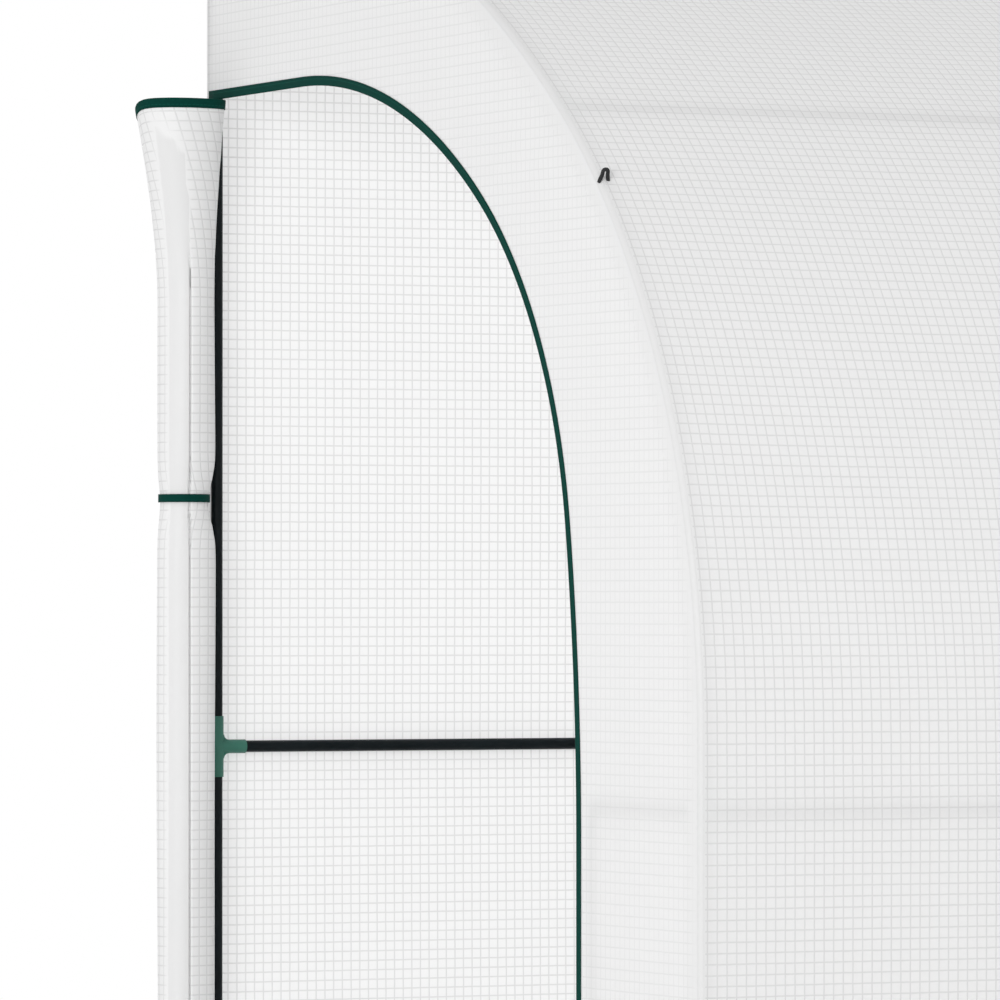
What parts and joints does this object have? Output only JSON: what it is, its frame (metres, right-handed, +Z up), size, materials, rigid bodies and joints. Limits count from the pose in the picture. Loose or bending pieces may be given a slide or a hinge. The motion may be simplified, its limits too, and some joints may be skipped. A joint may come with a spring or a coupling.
{
  "type": "lean-to polytunnel greenhouse",
  "caption": "Lean-to walk-in polytunnel with a half-arch tube frame, a white grid-reinforced sheet cover and a bound doorway in each end with its door rolled up and tied.",
  "frame": {"origin": "on the ground, under the middle of the whole tunnel", "axes": "+X along the wall, away from the end in the picture; +Y towards the wall it leans to; +Z up"},
  "size_m": [3.2556, 1.5, 2.15],
  "materials": {
    "tube": "satin dark green-black paint",
    "connector": "moulded green plastic",
    "sheet": "white translucent sheet with a woven grid",
    "binding": "woven dark green tape",
    "cord": "black cord"
  },
  "bodies": {
    "root": {"back_lower_posts": "tube", "back_upper_posts": "tube", "front_posts": "tube", "near_end_shoulder_tube": "tube", "near_middle_shoulder_tube": "tube", "far_middle_shoulder_tube": "tube", "far_end_shoulder_tube": "tube", "near_end_roof_tube": "tube", "near_middle_roof_tube": "tube", "far_middle_roof_tube": "tube", "far_end_roof_tube": "tube", "ridge_rails": "tube", "purlins": "tube", "back_mid_rails": "tube", "front_mid_rails": "tube", "back_base_rails": "tube", "front_base_rails": "tube", "end_base_rails": "tube", "end_mid_rails": "tube", "door_posts": "tube", "ridge_connectors": "connector", "back_connectors": "connector", "front_connectors": "connector", "purlin_connectors": "connector", "back_feet": "connector", "front_feet": "connector", "door_post_connectors": "connector", "back_cover": "sheet", "front_cover": "sheet", "shoulder_cover": "sheet", "roof_cover": "sheet", "near_end_cover": "sheet", "far_end_cover": "sheet", "near_door_binding": "binding", "far_door_binding": "binding", "near_rolled_door": "sheet", "far_rolled_door": "sheet", "near_roll_binding": "binding", "far_roll_binding": "binding", "near_door_tie": "binding", "far_door_tie": "binding", "guy_loops": "cord"}
  },
  "joints": []
}
